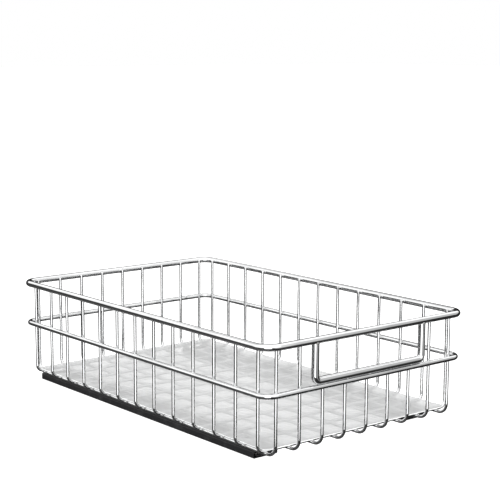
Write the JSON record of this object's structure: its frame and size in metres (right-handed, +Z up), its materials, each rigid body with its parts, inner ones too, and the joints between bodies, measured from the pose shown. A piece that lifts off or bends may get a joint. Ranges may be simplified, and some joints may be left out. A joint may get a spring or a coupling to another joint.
{
  "type": "pull out cabinet basket",
  "caption": "Rectangular wire basket with a flat plastic floor liner and a front hand slot, carried on two low telescopic ball slides that screw to a cabinet floor.",
  "frame": {"origin": "on the cabinet floor, under the middle of the basket's rim", "axes": "+Z up, X across the basket, -Y towards the handle, the way the basket pulls out"},
  "size_m": [0.2806, 0.4506, 0.1221],
  "materials": {
    "chrome_wire": "bright plated wire",
    "bracket_plate": "plated with the basket",
    "liner_plastic": "frosted translucent sheet",
    "rail_paint": "black electro-coat, satin",
    "member_finish": "black electro-coat, thinner on the races",
    "cage_steel": "plain strip steel",
    "ball_steel": "polished, lightly greased",
    "bumper_rubber": "moulded, matt",
    "fastener_steel": "zinc plated"
  },
  "bodies": {
    "cabinet_slides": {"left_cabinet_member": "rail_paint", "left_rear_bumper": "bumper_rubber", "right_cabinet_member": "rail_paint", "right_rear_bumper": "bumper_rubber"},
    "basket": {"rim_wire": "chrome_wire", "mid_ring": "chrome_wire", "handle": "chrome_wire", "floor_liner": "liner_plastic", "cross_wire_01": "chrome_wire", "cross_wire_02": "chrome_wire", "cross_wire_03": "chrome_wire", "cross_wire_04": "chrome_wire", "cross_wire_05": "chrome_wire", "cross_wire_06": "chrome_wire", "cross_wire_07": "chrome_wire", "cross_wire_08": "chrome_wire", "cross_wire_09": "chrome_wire", "cross_wire_10": "chrome_wire", "cross_wire_11": "chrome_wire", "cross_wire_12": "chrome_wire", "cross_wire_13": "chrome_wire", "long_wire_1": "chrome_wire", "long_wire_2": "chrome_wire", "long_wire_3": "chrome_wire", "long_wire_4": "chrome_wire", "long_wire_5": "chrome_wire", "long_wire_6": "chrome_wire", "long_wire_7": "chrome_wire", "long_wire_8": "chrome_wire", "long_wire_9": "chrome_wire", "left_drawer_member": "member_finish", "left_front_bracket": "bracket_plate", "left_rear_bracket": "bracket_plate", "left_bracket_screws": "fastener_steel", "left_clinch_nuts": "fastener_steel", "right_drawer_member": "member_finish", "right_front_bracket": "bracket_plate", "right_rear_bracket": "bracket_plate", "right_bracket_screws": "fastener_steel", "right_clinch_nuts": "fastener_steel"},
    "left_middle": {"left_middle_member": "member_finish"},
    "left_outer_ball_cage": {"left_outer_cage": "cage_steel", "left_outer_balls": "ball_steel"},
    "left_inner_ball_cage": {"left_inner_cage": "cage_steel", "left_inner_balls": "ball_steel"},
    "right_middle": {"right_middle_member": "member_finish"},
    "right_outer_ball_cage": {"right_outer_cage": "cage_steel", "right_outer_balls": "ball_steel"},
    "right_inner_ball_cage": {"right_inner_cage": "cage_steel", "right_inner_balls": "ball_steel"}
  },
  "joints": [
    {"name": "basket_slide", "type": "slide", "parent": "cabinet_slides", "child": "basket", "axis": [0, -1, 0], "range_m": [0, 0.38]},
    {"name": "left_middle_slide", "type": "slide", "parent": "cabinet_slides", "child": "left_middle", "axis": [0, -1, 0], "range_m": [0, 0.19]},
    {"name": "left_outer_cage_slide", "type": "slide", "parent": "cabinet_slides", "child": "left_outer_ball_cage", "axis": [0, -1, 0], "range_m": [0, 0.095]},
    {"name": "left_inner_cage_slide", "type": "slide", "parent": "left_middle", "child": "left_inner_ball_cage", "axis": [0, -1, 0], "range_m": [0, 0.095]},
    {"name": "right_middle_slide", "type": "slide", "parent": "cabinet_slides", "child": "right_middle", "axis": [0, -1, 0], "range_m": [0, 0.19]},
    {"name": "right_outer_cage_slide", "type": "slide", "parent": "cabinet_slides", "child": "right_outer_ball_cage", "axis": [0, -1, 0], "range_m": [0, 0.095]},
    {"name": "right_inner_cage_slide", "type": "slide", "parent": "right_middle", "child": "right_inner_ball_cage", "axis": [0, -1, 0], "range_m": [0, 0.095]}
  ],
  "couplings": [
    {"joint": "left_middle_slide", "follows": "basket_slide", "ratio": 0.5},
    {"joint": "left_outer_cage_slide", "follows": "basket_slide", "ratio": 0.25},
    {"joint": "left_inner_cage_slide", "follows": "basket_slide", "ratio": 0.25},
    {"joint": "right_middle_slide", "follows": "basket_slide", "ratio": 0.5},
    {"joint": "right_outer_cage_slide", "follows": "basket_slide", "ratio": 0.25},
    {"joint": "right_inner_cage_slide", "follows": "basket_slide", "ratio": 0.25}
  ]
}
